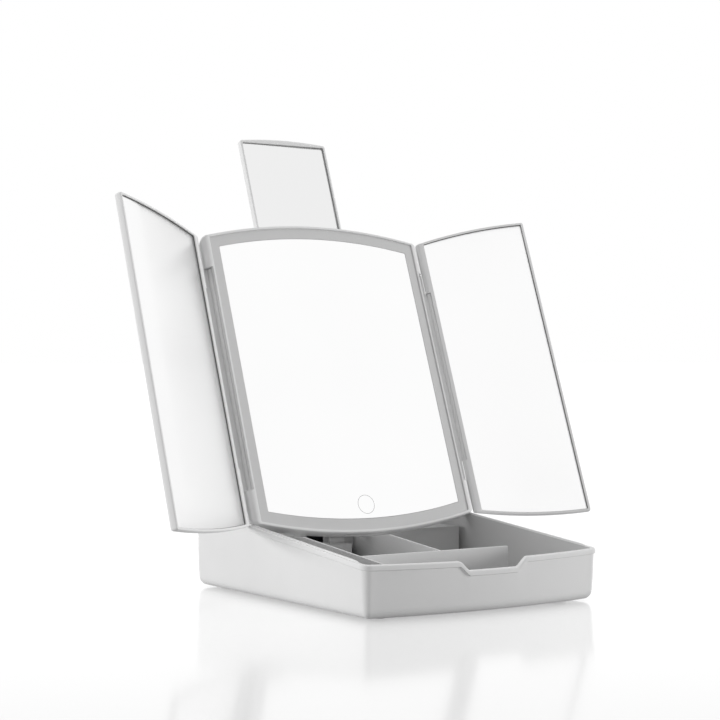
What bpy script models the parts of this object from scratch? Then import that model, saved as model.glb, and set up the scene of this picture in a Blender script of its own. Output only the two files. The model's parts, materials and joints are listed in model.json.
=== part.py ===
"""Tri-fold lighted vanity mirror on an organiser tray base.

Frame: +X to the mirror's right as its user sees it, +Y to the back, +Z up.
The origin is on the table, under the middle of the base.  Sizes are in
millimetres and are scaled to metres when a mesh is made.
"""
import math

import bmesh
import bpy
from mathutils import Matrix, Vector

MM = 0.001
GAP = 0.3                      # clearance between neighbouring pieces

# ---- base ----
BASE_W = 190.0                 # across the side walls, below the lip
BASE_D = 240.0                 # front to back at the middle
BASE_BOW = 9.5                 # how far the front and back walls bulge
BASE_CORNER = 6.0
FOOT_H = 1.2
FLOOR_T = 2.4
WALL = 2.4
BOTTOM_FILLET = 6.5
DRAFT = 1.4                    # the walls lean in by this much at the bottom
RIM_FRONT = 35.0               # rim height at the front
RIM_SLOPE = 0.0976             # the rim climbs to the back
LIP_OUT = 1.1
LIP_H = 3.4
NOTCH_TOP = 27.5               # half widths and depth of the finger notch
NOTCH_BOTTOM = 19.5
NOTCH_DEPTH = 6.2
FLOOR_TOP = FOOT_H + FLOOR_T

# ---- organiser and rear housing ----
DIVIDER_T = 1.6
DIVIDER_DROP = 5.4             # divider tops lie this far under the rim
DIVIDER_X = -65.0              # the long divider beside the left wall
SHELF_Y = -61.0                # the divider that runs across the tray
SHELF_RIGHT = 57.0
LONG_FALL = (10.0, 40.0)       # where the long divider starts to fall, and its rear height
SPLIT_FALL = (0.0, 36.2)       # the same for the centre divider, lowest under the panel
SPLIT_REAR = (47.0, 39.5)      # rear end and height of the centre divider inside the recess
RIB_H = 0.9                    # thin ribs along the inside of the side walls
RIB_T = 1.3
RIB_Y = (-100.0, 96.0)
REAR_NOTCH = (44.0, 50.0)      # half width and sill of the notch behind the mirror
HOUSING_Y = 36.0
HOUSING_TOP = 40.0
HOUSING_T = 2.0
RECESS_X = (-46.0, 1.1)        # opening in the housing around the panel's stop
RECESS_Z = 21.7
REST_X = (-34.0, -14.0)        # the stop under the open panel
POST_X = (-26.4, -14.4)
LABEL_RECESS = (28.0, 16.0, 0.4)   # half sizes and depth of the flat under the base

# ---- mirror panel, measured from its centre ----
TILT = 20.4                    # lean of the open panel from the vertical
PANEL_CENTRE = (63.9, 152.7)   # (y, z) of the panel's centre on the glass plane
PANEL_HALF_W = 95.0
PANEL_PEAK = 119.5             # centre to the top of the arc
ARC_R = 397.0
RIM_N = 0.8                    # the rim stands this far in front of the glass
SIDE_R = 5.5
FRAME_BACK = -8.4
COVER_FRONT = -8.7
COVER_BACK = -10.7
GLASS_HALF_W = 81.9
GLASS_PEAK = 108.7
BAND_HALF_W = 89.0
BAND_PEAK = 116.9

# ---- support arm that carries the panel ----
ARM_PIVOT = (76.0, 44.5)       # (y, z) of the hinge on the base
PANEL_PIVOT = (-15.0, -15.0)   # the tilt pivot, along and behind the panel
ARM_X = (49.5, 60.5)
ARM_BARREL_R = 2.8
ARM_PLATE = (6.0, 24.0)        # the cross plate, along the arm
EAR_X = ((47.2, 48.9), (62.2, 63.9))
WASHER_X = 61.35
PIN_R = 1.4
PIN_LENGTH = 18.4

# ---- side wings on their two-pivot links ----
PIVOT_U = 90.1
PIVOT_N = -4.7
LINK_LENGTH = 9.4
LINK_ANGLE = {"left": 3.8, "right": 16.5}
WING_ANGLE = {"left": 28.9, "right": 16.65}
WING_R = 2.9                   # the wing's rounded hinge edge
WING_END = 89.6                # hinge axis to the free edge
WING_FRONT = 2.7
WING_GLASS_N = 1.5
LINK_R = 2.2                   # barrels of a link at the panel and at the wing
LINK_FAR_R = 2.1
LINK_WEB = (-2.2, -0.6)        # the plate between the two barrels
PANEL_SLOT = 83.6              # half lengths of the two hinge slots
WING_SLOT = 67.6

# ---- pull-up mirror ----
TOP_HALF_W = 37.9
TOP_PEAK = 197.9               # above the panel's centre, pulled up
TOP_BOTTOM = 91.9
TOP_FRONT_N = -14.0
TOP_BACK_N = -19.0

# ---- cable ----
CORD_R = 1.75
COIL_R = 20.0                  # mid-turn radius of the stored length
COIL_CENTRE = (0.0, 166.0)
INLET_X = -48.0
INLET_Z = 14.0
CORD_STEP = 8.0                # spacing of the points along the lead
LEAD_ROUTE = (
    (-48.0, 142.3, 14.0), (-48.0, 150.0, 13.4), (-47.6, 158.0, 9.6), (-46.0, 167.0, 4.4),
    (-42.0, 177.0, 2.1), (-34.5, 185.5, 1.9), (-25.0, 190.2, 1.9), (-14.8, 191.4, 1.9),
)
TAIL_ROUTE = ((16.2, 189.7, 4.8), (24.0, 189.9, 4.2), (33.0, 190.6, 3.9), (41.7, 191.0, 3.9))
PLUG_A = (42.0, 191.0, 3.9)    # where the lead enters the large plug

SIDES = {"left": -1.0, "right": 1.0}


def clear_scene():
    for obj in list(bpy.data.objects):
        bpy.data.objects.remove(obj, do_unlink=True)


def new_collection(name):
    collection = bpy.data.collections.new(name)
    bpy.context.scene.collection.children.link(collection)
    return collection


def make_material(name, colour, roughness, metallic=0.0):
    material = bpy.data.materials.new(name)
    material.use_nodes = True
    shader = material.node_tree.nodes["Principled BSDF"]
    shader.inputs["Base Color"].default_value = (*colour, 1.0)
    shader.inputs["Roughness"].default_value = roughness
    shader.inputs["Metallic"].default_value = metallic
    return material


clear_scene()
PARTS = new_collection("vanity_mirror")
CUTTERS = new_collection("cutters")
MATERIALS = {
    "white_plastic": make_material("white_plastic", (0.80, 0.80, 0.80), 0.35),
    "tray_plastic": make_material("tray_plastic", (0.62, 0.62, 0.62), 0.5),
    "mirror_glass": make_material("mirror_glass", (0.93, 0.94, 0.95), 0.03, 1.0),
    "diffuser": make_material("diffuser", (0.55, 0.55, 0.56), 0.45),
    "dark_plastic": make_material("dark_plastic", (0.05, 0.05, 0.05), 0.5),
    "steel": make_material("steel", (0.60, 0.60, 0.62), 0.3, 1.0),
    "rubber": make_material("rubber", (0.25, 0.25, 0.25), 0.8),
    "circuit_board": make_material("circuit_board", (0.05, 0.22, 0.10), 0.5),
    "copper": make_material("copper", (0.80, 0.60, 0.35), 0.35, 1.0),
    "cell_wrap": make_material("cell_wrap", (0.12, 0.16, 0.30), 0.4),
    "cable_jacket": make_material("cable_jacket", (0.85, 0.85, 0.85), 0.45),
}


# ---------------------------------------------------------------- helpers
def finish_mesh(name, bm, slot, parent=None, smooth_angle=35.0):
    """Turns a bmesh in millimetres into a named part of the mirror."""
    bmesh.ops.recalc_face_normals(bm, faces=bm.faces)
    bmesh.ops.scale(bm, vec=(MM, MM, MM), verts=bm.verts)
    mesh = bpy.data.meshes.new(name)
    bm.to_mesh(mesh)
    bm.free()
    mesh.shade_smooth()
    mesh.set_sharp_from_angle(angle=math.radians(smooth_angle))
    obj = bpy.data.objects.new(name, mesh)
    if slot is None:
        CUTTERS.objects.link(obj)
        obj.hide_render = True
        obj.display_type = "WIRE"
    else:
        PARTS.objects.link(obj)
        mesh.materials.append(MATERIALS[slot])
    obj.parent = parent
    return obj


def loft(name, rings, slot, parent=None, loop=False):
    """Skins rings of equal point count; the end rings are capped unless looped."""
    bm = bmesh.new()
    rows = [[bm.verts.new(point) for point in ring] for ring in rings]
    pairs = list(zip(rows, rows[1:]))
    if loop:
        pairs.append((rows[-1], rows[0]))
    count = len(rows[0])
    for low, high in pairs:
        for i in range(count):
            j = (i + 1) % count
            bm.faces.new((low[i], low[j], high[j], high[i]))
    if not loop:
        bm.faces.new(rows[0])
        bm.faces.new(rows[-1])
    return finish_mesh(name, bm, slot, parent)


def box(name, low, high, slot, parent=None, bevel=0.0):
    """A box between two corners, with rounded edges if bevel is given."""
    bm = bmesh.new()
    bmesh.ops.create_cube(bm, size=1.0)
    for vert in bm.verts:
        vert.co = Vector([low[k] + (vert.co[k] + 0.5) * (high[k] - low[k]) for k in range(3)])
    if bevel:
        bmesh.ops.bevel(bm, geom=bm.edges[:], offset=bevel, segments=2, profile=0.5, affect="EDGES")
    return finish_mesh(name, bm, slot, parent)


def cylinder(name, centre, axis, radius, length, slot, parent=None, sides=20, bevel=0.0):
    """A cylinder centred on a point, along X, Y or Z."""
    turn = {
        "X": Matrix.Rotation(math.pi / 2, 4, "Y"),
        "Y": Matrix.Rotation(math.pi / 2, 4, "X"),
        "Z": Matrix.Identity(4),
    }[axis]
    bm = bmesh.new()
    bmesh.ops.create_cone(
        bm, cap_ends=True, segments=sides, radius1=radius, radius2=radius, depth=length,
        matrix=Matrix.Translation(centre) @ turn)
    if bevel:
        rims = [edge for edge in bm.edges if any(len(face.verts) > 4 for face in edge.link_faces)]
        bmesh.ops.bevel(bm, geom=rims, offset=bevel, segments=2, profile=0.5, affect="EDGES")
    return finish_mesh(name, bm, slot, parent)


def combine(target, other, operation):
    modifier = target.modifiers.new(operation.lower(), "BOOLEAN")
    modifier.operation = operation
    modifier.solver = "EXACT"
    modifier.object = other


def cut(target, *cutters):
    for cutter in cutters:
        combine(target, cutter, "DIFFERENCE")


def join(target, *others):
    """Unites the other pieces with the target."""
    for other in others:
        combine(target, other, "UNION")


def make_empty(name, location, parent=None, rotation=(0.0, 0.0, 0.0)):
    empty = bpy.data.objects.new(name, None)
    PARTS.objects.link(empty)
    empty.parent = parent
    empty.location = Vector(location) * MM
    empty.rotation_euler = rotation
    return empty


def rim_height(y):
    """Height of the base's rim at a distance from the middle."""
    return RIM_FRONT + RIM_SLOPE * (y + BASE_D / 2)


def arc_drop(x, radius):
    return radius - math.sqrt(radius * radius - x * x)


# ---------------------------------------------------------------- outlines
BOW_R = ((BASE_W / 2) ** 2 + BASE_BOW ** 2) / (2 * BASE_BOW)


def base_outline(inset, front=None):
    """Plan of the base: bowed front and back, straight sides, round corners.

    With front given, the plan starts there with a straight wall instead.
    """
    half = BASE_W / 2 - inset
    corner = max(BASE_CORNER - inset, 1.0)
    back = BASE_D / 2 - inset
    edge = half - corner
    side_back = back - arc_drop(edge, BOW_R) - corner
    points = []
    stations = [-edge, -70.0, -50.0, -NOTCH_TOP, -NOTCH_BOTTOM, 0.0, NOTCH_BOTTOM, NOTCH_TOP, 50.0, 70.0, edge]
    for x in stations:
        y = front if front is not None else -back + arc_drop(x, BOW_R)
        points.append((x, y))
    side_front = points[0][1] + corner
    for angle in (-67.5, -45.0, -22.5, 0.0):
        turn = math.radians(angle)
        points.append((edge + corner * math.cos(turn), side_front + corner * math.sin(turn)))
    for part in (0.25, 0.5, 0.75):
        points.append((half, side_front + (side_back - side_front) * part))
    for angle in (0.0, 22.5, 45.0, 67.5):
        turn = math.radians(angle)
        points.append((edge + corner * math.cos(turn), side_back + corner * math.sin(turn)))
    for x in reversed(stations):
        points.append((x, back - arc_drop(x, BOW_R)))
    for angle in (112.5, 135.0, 157.5, 180.0):
        turn = math.radians(angle)
        points.append((-edge + corner * math.cos(turn), side_back + corner * math.sin(turn)))
    for part in (0.75, 0.5, 0.25):
        points.append((-half, side_front + (side_back - side_front) * part))
    for angle in (180.0, 202.5, 225.0, 247.5):
        turn = math.radians(angle)
        points.append((-edge + corner * math.cos(turn), side_front + corner * math.sin(turn)))
    return points


def notch_at(x, y):
    """How far the finger notch lowers the rim at a point of the front wall."""
    if y > -BASE_D / 4:
        return 0.0
    slope = (NOTCH_TOP - abs(x)) / (NOTCH_TOP - NOTCH_BOTTOM)
    return NOTCH_DEPTH * min(max(slope, 0.0), 1.0)


def arc_outline(x0, x1, peak, apex=0.0, corner=2.0, steps=12):
    """A plate between two upright sides whose top and bottom are arcs about an apex."""
    radius = ARC_R - (PANEL_PEAK - peak)

    def top(x):
        return peak - arc_drop(x - apex, radius)

    stations = [x0 + corner + (x1 - x0 - 2 * corner) * i / steps for i in range(steps + 1)]
    soft = 0.3 * corner
    right = [(x1 - soft, -top(x1) + soft), (x1, -top(x1) + corner)]
    left = [(x0, -top(x0) + corner), (x0 + soft, -top(x0) + soft)]
    points = [(x, -top(x)) for x in stations] + right
    points += [(x, -y) for x, y in reversed(right)]
    points += [(x, top(x)) for x in reversed(stations)]
    points += [(x, -y) for x, y in reversed(left)] + left
    return points


def rounded_edge(steps=5):
    """(cosine, sine) pairs of a quarter circle."""
    turns = [math.pi / 2 * k / (steps - 1) for k in range(steps)]
    return [(math.cos(turn), math.sin(turn)) for turn in turns]


def at_height(points, z):
    return [(x, y, z) for x, y in points]


def mirrored(ring, side):
    return [(side * x, y, z) for x, y, z in ring]


# ---------------------------------------------------------------- base
def make_base_shell():
    def ring(inset, height):
        return [(x, y, height(x, y)) for x, y in base_outline(inset)]

    def under_rim(depth):
        return lambda x, y: rim_height(y) - notch_at(x, y) - depth

    rings = []
    for angle in (0.0, 22.5, 45.0, 67.5, 90.0):
        turn = math.radians(angle)
        inset = DRAFT + BOTTOM_FILLET * (1.0 - math.sin(turn))
        height = FOOT_H + BOTTOM_FILLET * (1.0 - math.cos(turn))
        rings.append(ring(inset, lambda x, y, z=height: z))
    rings.append(ring(0.1, under_rim(LIP_H + 0.9)))
    rings.append(ring(-LIP_OUT + 0.25, under_rim(LIP_H)))
    rings.append(ring(-LIP_OUT, under_rim(LIP_H - 0.6)))
    rings.append(ring(-LIP_OUT, under_rim(0.6)))
    rings.append(ring(-LIP_OUT + 0.5, under_rim(0.0)))
    rings.append(ring(WALL - 0.4, under_rim(0.0)))
    rings.append(ring(WALL, under_rim(0.4)))
    rings.append(ring(WALL + DRAFT, lambda x, y: FLOOR_TOP + 3.0))
    rings.append(ring(WALL + DRAFT + 3.0, lambda x, y: FLOOR_TOP))
    shell = loft("base_shell", rings, "white_plastic")
    for side, sign in SIDES.items():
        join(shell, make_side_rib(side, sign))
    opening = box("cut_battery_opening", (-32.0, 46.0, 0.0), (32.0, 94.0, 8.0), None)
    slide_way = box("cut_battery_door_way", (-36.0, 42.0, 0.0), (36.0, 107.5, FOOT_H + 1.6), None)
    inlet_low, inlet_high = (INLET_X - 5.6, 105.0, INLET_Z - 3.4), (INLET_X + 5.6, 125.0, INLET_Z + 3.4)
    inlet = box("cut_inlet", inlet_low, inlet_high, None)
    half, sill = REAR_NOTCH
    notch = box("cut_rear_notch", (-half, 100.0, sill), (half, 130.0, 80.0), None)
    half_x, half_y, depth = LABEL_RECESS
    label = box("cut_label_recess", (-half_x, -half_y, 0.0), (half_x, half_y, FOOT_H + depth), None)
    cut(shell, opening, slide_way, inlet, notch, label)


def make_side_rib(side, sign):
    """The thin rib that stands on the inner edge of a side wall."""
    x0, x1 = sorted((sign * (BASE_W / 2 - WALL), sign * (BASE_W / 2 - WALL + RIB_T)))
    front, back = RIB_Y
    plan = [(x0, front), (x1, front), (x1, back), (x0, back)]
    bottom = [(x, y, rim_height(y) - 2.0) for x, y in plan]
    top = [(x, y, rim_height(y) + RIB_H) for x, y in plan]
    return loft(f"join_rib_{side}", [bottom, top], None)


def make_battery_door():
    door = box("battery_door", (-35.6, 42.4, FOOT_H + 0.1), (35.6, 97.6, FOOT_H + 1.3), "white_plastic")
    for k in range(3):
        y = 86.0 + 3.0 * k
        groove = box(f"cut_door_grip_{k}", (-10.0, y, 0.0), (10.0, y + 1.2, FOOT_H + 0.5), None)
        cut(door, groove)


def make_feet():
    for name, x, y in (("front_left", -74, -95), ("front_right", 74, -95), ("rear_left", -74, 98),
                       ("rear_right", 74, 98)):
        cylinder(f"foot_{name}", (x, y, (FOOT_H - GAP) / 2), "Z", 5.5, FOOT_H - GAP, "rubber", bevel=0.3)


def sloped_wall(name, x0, x1, y0, y1, slot, rear_top=None):
    """An upright divider whose top follows the rim, or falls to a given rear height."""
    corners = [(x0, y0), (x1, y0), (x1, y1), (x0, y1)]
    tops = [rim_height(y) - DIVIDER_DROP for x, y in corners]
    if rear_top is not None:
        tops[2:] = (rear_top, rear_top)
    bottom = [(x, y, FLOOR_TOP + GAP) for x, y in corners]
    top = [(x, y, z) for (x, y), z in zip(corners, tops)]
    return loft(name, [bottom, top], slot)


def make_dividers():
    """One insert of thin dividers; two of them fall where the open panel stands over them."""
    half = DIVIDER_T / 2
    front = -BASE_D / 2 + arc_drop(DIVIDER_X, BOW_R) + WALL + DRAFT + 3.3
    left, right = DIVIDER_X - half, DIVIDER_X + half
    insert = sloped_wall("divider_insert", left, right, front, LONG_FALL[0], "tray_plastic")
    join(insert, sloped_wall("join_shelf", DIVIDER_X, SHELF_RIGHT, SHELF_Y - half, SHELF_Y + half, None))
    join(insert, sloped_wall("join_split", -half, half, SHELF_Y, SPLIT_FALL[0], None))
    for name, x, (y, top) in (("long", DIVIDER_X, LONG_FALL), ("split", 0.0, SPLIT_FALL)):
        join(insert, sloped_wall(f"join_fall_{name}", x - half, x + half, y, HOUSING_Y - GAP, None, top))
    rear, top = SPLIT_REAR
    low = RECESS_Z + GAP
    for name, y, z in (("low", HOUSING_Y - 1.0, SPLIT_FALL[1] - 0.4), ("high", HOUSING_Y + 0.2, top)):
        join(insert, box(f"join_rear_{name}", (-half, y, low), (half, rear, z), None))


def make_rear_housing():
    outer = base_outline(WALL + DRAFT + GAP + 3.0, HOUSING_Y)
    inner = base_outline(WALL + DRAFT + GAP + 3.0 + HOUSING_T, HOUSING_Y + HOUSING_T)
    low = FLOOR_TOP + GAP
    rings = [
        at_height(inner, HOUSING_TOP - HOUSING_T), at_height(inner, low), at_height(outer, low),
        at_height(outer, HOUSING_TOP),
    ]
    housing = loft("rear_housing", rings, "tray_plastic")
    recess = box("cut_rest_recess", (RECESS_X[0], 30.0, RECESS_Z), (RECESS_X[1], 52.0, 45.0), None)
    inlet_low = (INLET_X - 5.6, 100.0, INLET_Z - 3.4)
    inlet_high = (INLET_X + 5.6, 125.0, INLET_Z + 3.4)
    cut(housing, recess, box("cut_housing_inlet", inlet_low, inlet_high, None))


def make_panel_rest():
    """The stop under the open panel's lower edge: a block with a post and a back plate on it."""
    block_high = (REST_X[1], HOUSING_Y - GAP, 32.0)
    block = box("panel_rest", (REST_X[0], 27.0, FLOOR_TOP + GAP), block_high, "tray_plastic")
    shelf = box("join_rest_shelf", (REST_X[0], 27.0, 28.0), (REST_X[1], 46.0, 33.4), None)
    post = box("join_rest_post", (POST_X[0], 37.0, 29.0), (POST_X[1], 38.6, 39.0), None)
    plate = box("join_rest_plate", (POST_X[0], 44.0, 28.0), (-DIVIDER_T / 2 - GAP, 46.0, 39.5), None)
    join(block, shelf, post, plate)


def make_batteries():
    for k in range(4):
        x = -22.8 + 15.2 * k
        cell = cylinder(f"battery_{k + 1}", (x, 70.0, 11.4), "Y", 7.2, 46.0, "cell_wrap", sides=20, bevel=0.6)
        end = 1.0 if k % 2 else -1.0
        nub = cylinder(f"join_cell_nub_{k}", (x, 70.0 + end * 23.5, 11.4), "Y", 2.7, 2.6, None, sides=12)
        join(cell, nub)
    for name, y in (("front", 43.6), ("rear", 96.2)):
        box(f"battery_contact_{name}", (-30.0, y - 0.4, 5.0), (30.0, y + 0.4, 18.0), "steel")


def make_electronics():
    board = box("control_board", (-78.0, 66.0, 10.6), (-38.0, 102.6, 12.2), "circuit_board")
    chip = box("join_chip", (-70.0, 80.0, 12.0), (-62.0, 88.0, 13.8), None)
    join(board, chip)
    socket_low = (INLET_X - 3.9, 103.0, INLET_Z - 1.5)
    socket_high = (INLET_X + 3.9, 108.6, INLET_Z + 1.5)
    socket = box("usb_inlet_socket", socket_low, socket_high, "steel", bevel=0.4)
    mouth_low = (INLET_X - 3.4, 104.0, INLET_Z - 1.0)
    mouth = box("cut_socket_mouth", mouth_low, (INLET_X + 3.4, 112.0, INLET_Z + 1.0), None)
    cut(socket, mouth)


def make_bracket(name, sign, low, high, ear_low, ear_high, pivot, parent=None):
    """A bent steel plate with two ears that are bored for a hinge pin."""
    x0, x1 = sorted((sign * EAR_X[0][0], sign * EAR_X[1][1]))
    plate = box(name, (x0, *low), (x1, *high), "steel", parent)
    for k, reach in enumerate(EAR_X):
        a, b = sorted((sign * reach[0], sign * reach[1]))
        join(plate, box(f"join_{name}_{k}", (a, *ear_low), (b, *ear_high), None, parent))
    middle = sign * (EAR_X[0][0] + EAR_X[1][1]) / 2
    bore = cylinder(f"cut_{name}", (middle, *pivot), "X", PIN_R + GAP, 30.0, None, parent, sides=16)
    cut(plate, bore)


def make_hinge_pin(name, sign, pivot, parent=None):
    middle = sign * (EAR_X[0][0] + EAR_X[1][1]) / 2
    cylinder(f"{name}_pin", (middle, *pivot), "X", PIN_R, PIN_LENGTH, "steel", parent, sides=16)


def make_friction_washer(name, sign, pivot, parent=None):
    centre = (sign * WASHER_X, *pivot)
    washer = cylinder(name, centre, "X", 2.7, 0.9, "dark_plastic", parent, sides=16)
    cut(washer, cylinder(f"cut_{name}", centre, "X", PIN_R + GAP, 3.0, None, parent, sides=16))


def make_base_hinges():
    """Brackets, pins and friction washers of the support arm's lower hinge."""
    y, z = ARM_PIVOT
    foot = HOUSING_TOP + GAP
    for side, sign in SIDES.items():
        make_bracket(
            f"hinge_bracket_{side}", sign, (y - 8.0, foot), (y + 8.0, foot + 0.9),
            (y - 3.6, foot + 0.4), (y + 3.6, z + 3.2), ARM_PIVOT)
        make_hinge_pin(f"hinge_{side}", sign, ARM_PIVOT)
        make_friction_washer(f"friction_washer_{side}", sign, ARM_PIVOT)


# ---------------------------------------------------------------- support arm
def panel_point(v, n):
    """(y, z) of a point given along and in front of the open panel."""
    lean = math.radians(TILT)
    y = PANEL_CENTRE[0] + v * math.sin(lean) - n * math.cos(lean)
    return y, PANEL_CENTRE[1] + v * math.cos(lean) + n * math.sin(lean)


def make_support_arm():
    pivot_y, pivot_z = panel_point(*PANEL_PIVOT)
    reach_y, reach_z = pivot_y - ARM_PIVOT[0], pivot_z - ARM_PIVOT[1]
    length = math.hypot(reach_y, reach_z)
    turn = math.atan2(reach_z, reach_y)
    hinge = make_empty("support_hinge_axis", (0.0, *ARM_PIVOT), rotation=(turn, 0.0, 0.0))
    plate_low, plate_high = ARM_PLATE
    half = ARM_X[1] - 1.0
    arm = box("support_arm", (-half, plate_low, 1.0), (half, plate_high, 2.9), "white_plastic", hinge)
    for side, sign in SIDES.items():
        low_x, high_x = sorted((sign * ARM_X[0], sign * ARM_X[1]))
        bar = box(f"join_bar_{side}", (low_x, 0.0, -2.2), (high_x, length, 2.2), None, hinge)
        join(arm, bar)
        for name, y in (("low", 0.0), ("high", length)):
            centre = (sign * sum(ARM_X) / 2, y, 0.0)
            width = ARM_X[1] - ARM_X[0]
            barrel = cylinder(f"join_barrel_{side}_{name}", centre, "X", ARM_BARREL_R, width, None, hinge)
            join(arm, barrel)
        for name, y in (("low", 0.0), ("high", length)):
            centre = (sign * sum(ARM_X) / 2, y, 0.0)
            bore = cylinder(f"cut_bore_{side}_{name}", centre, "X", PIN_R + GAP, 20.0, None, hinge, sides=16)
            cut(arm, bore)


# ---------------------------------------------------------------- centre panel
def make_panel():
    pivot = panel_point(*PANEL_PIVOT)
    upright = math.radians(90.0 - TILT)
    axis = make_empty("panel_tilt_axis", (0.0, *pivot), rotation=(upright, 0.0, 0.0))
    datum = make_empty("panel_datum", (0.0, -PANEL_PIVOT[0], -PANEL_PIVOT[1]), axis)
    make_panel_frame(datum)
    make_panel_inside(datum)
    make_tilt_brackets(datum)
    make_top_mirror(datum)
    for side, sign in SIDES.items():
        make_wing(datum, side, sign)


def make_panel_frame(datum):
    def ring(side_inset, end_inset, n, corner=None):
        width = PANEL_HALF_W - side_inset
        if corner is None:
            corner = 2.5 + RIM_N - n
        return at_height(arc_outline(-width, width, PANEL_PEAK - end_inset, corner=corner), n)

    rings = [ring(1.3, 0.0, FRAME_BACK), ring(0.35, 0.0, FRAME_BACK + 1.8)]
    for c, v in rounded_edge():
        n = RIM_N - 4.6 + 4.6 * v
        rings.append(ring(4.6 * (1.0 - c), 0.8 * (1.0 - c), n))
    opening_w = PANEL_HALF_W - BAND_HALF_W - GAP
    opening_v = PANEL_PEAK - BAND_PEAK - GAP
    rings.append(ring(opening_w, opening_v, RIM_N, 1.0))
    rings.append(ring(opening_w, opening_v, -1.8, 1.0))
    rings.append(ring(8.2, 4.5, -1.8, 3.0))
    rings.append(ring(8.2, 4.5, FRAME_BACK, 3.0))
    frame = loft("panel_frame", rings, "white_plastic", datum, loop=True)
    for side, sign in SIDES.items():
        low_x, high_x = sorted((sign * (PIVOT_U - LINK_WEB[1] - GAP), sign * 98.0))
        low, high = (low_x, -PANEL_SLOT, -8.0), (high_x, PANEL_SLOT, 3.0)
        slot = box(f"cut_panel_slot_{side}", low, high, None, datum)
        centre = (sign * PIVOT_U, 0.0, PIVOT_N)
        pocket = cylinder(f"cut_panel_pocket_{side}", centre, "Y", LINK_R + GAP, 2 * PANEL_SLOT, None, datum)
        bore = cylinder(f"cut_panel_bore_{side}", centre, "Y", 1.35, 190.0, None, datum, sides=12)
        cut(frame, slot, pocket, bore)
    lip = box("cut_pull_lip", (-19.0, -122.0, -7.0), (19.0, -117.6, -4.6), None, datum)
    cut(frame, lip)


def make_panel_inside(datum):
    glass = arc_outline(-GLASS_HALF_W, GLASS_HALF_W, GLASS_PEAK, corner=1.0)
    loft("centre_mirror_glass", [at_height(glass, -2.0), at_height(glass, 0.0)], "mirror_glass", datum)
    outer = arc_outline(-BAND_HALF_W, BAND_HALF_W, BAND_PEAK, corner=1.0)
    inner_w = GLASS_HALF_W + GAP
    inner = arc_outline(-inner_w, inner_w, GLASS_PEAK + GAP, corner=1.0)
    rings = [at_height(outer, -1.5), at_height(outer, 0.0), at_height(inner, 0.0), at_height(inner, -1.5)]
    loft("light_diffuser", rings, "diffuser", datum, loop=True)
    board_out = arc_outline(-86.2, 86.2, 114.4, corner=3.0)
    board_in = arc_outline(-79.0, 79.0, 107.0, corner=1.0)
    rings = [
        at_height(board_out, -6.4), at_height(board_out, -5.2), at_height(board_in, -5.2),
        at_height(board_in, -6.4),
    ]
    board = loft("led_board", rings, "circuit_board", datum, loop=True)
    add_leds(board, datum)
    carrier = arc_outline(-76.0, 76.0, 104.0, corner=1.0)
    loft("glass_carrier", [at_height(carrier, -5.4), at_height(carrier, -3.9)], "dark_plastic", datum)
    cylinder("touch_sensor", (0.0, -97.9, -2.95), "Z", 8.0, 1.2, "copper", datum, sides=24)
    cover = []
    for c, v in [(1.0, -0.2)] + rounded_edge(3):
        inset = 1.5 + 1.9 * (1.0 - c)
        width = PANEL_HALF_W - inset
        n = COVER_FRONT - 0.3 - 1.7 * v
        cover.append(at_height(arc_outline(-width, width, PANEL_PEAK + 1.3 - inset, corner=8.5), n))
    loft("panel_back_cover", cover, "white_plastic", datum)


def add_leds(board, datum):
    """Chip lights spaced evenly along the four sides of their board."""
    bm = bmesh.new()
    spots = [(x, sign * (110.6 - arc_drop(x, ARC_R))) for x in range(-72, 73, 18) for sign in (-1, 1)]
    spots += [(sign * 82.6, v) for v in range(-88, 89, 16) for sign in (-1, 1)]
    for x, v in spots:
        made = bmesh.ops.create_cube(bm, size=1.0)
        for vert in made["verts"]:
            vert.co = Vector((x + vert.co.x * 3.2, v + vert.co.y * 3.2, -4.75 + vert.co.z * 1.1))
    lights = finish_mesh("join_led_chips", bm, None, datum)
    join(board, lights)


def make_tilt_brackets(datum):
    """Brackets on the panel's back that hold the top of the support arm."""
    v, n = PANEL_PIVOT
    foot = COVER_BACK - GAP
    for side, sign in SIDES.items():
        make_bracket(
            f"tilt_bracket_{side}", sign, (v - 8.0, foot - 0.9), (v + 8.0, foot),
            (v - 3.6, n - 3.0), (v + 3.6, foot - 0.4), PANEL_PIVOT, datum)
        make_hinge_pin(f"tilt_{side}", sign, PANEL_PIVOT, datum)


# ---------------------------------------------------------------- pull-up mirror
def make_top_mirror(datum):
    for side, sign in SIDES.items():
        rail_x = sorted((sign * (TOP_HALF_W + 0.5), sign * 42.4))
        low, high = (rail_x[0], 10.0, -20.7), (rail_x[1], 106.0, -11.0)
        rail = box(f"slide_guide_{side}", low, high, "white_plastic", datum)
        hook_x = sorted((sign * 35.4, sign * 40.0))
        hook = box(f"join_hook_{side}", (hook_x[0], 10.0, -20.7), (hook_x[1], 106.0, -19.4), None, datum)
        join(rail, hook)
    height = (TOP_PEAK - TOP_BOTTOM) / 2
    middle = (TOP_PEAK + TOP_BOTTOM) / 2
    plate = make_empty("top_mirror_slide", (0.0, middle, 0.0), datum)

    def ring(inset, n):
        half = TOP_HALF_W - inset
        points = arc_outline(-half, half, height - inset, corner=1.2, steps=6)
        low = -height + inset
        return [(x, max(y, low + arc_drop(half, ARC_R)) if y < 0 else y, n) for x, y in points]

    rings = [
        ring(0.8, TOP_BACK_N), ring(0.0, TOP_BACK_N + 0.8), ring(0.0, TOP_FRONT_N - 0.5),
        ring(0.4, TOP_FRONT_N), ring(1.7, TOP_FRONT_N), ring(1.7, TOP_FRONT_N - 3.4),
    ]
    loft("top_mirror_frame", rings, "white_plastic", plate)
    rings = [ring(2.0, TOP_FRONT_N - 3.1), ring(2.0, TOP_FRONT_N - 1.3)]
    loft("top_mirror_glass", rings, "mirror_glass", plate)


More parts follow.
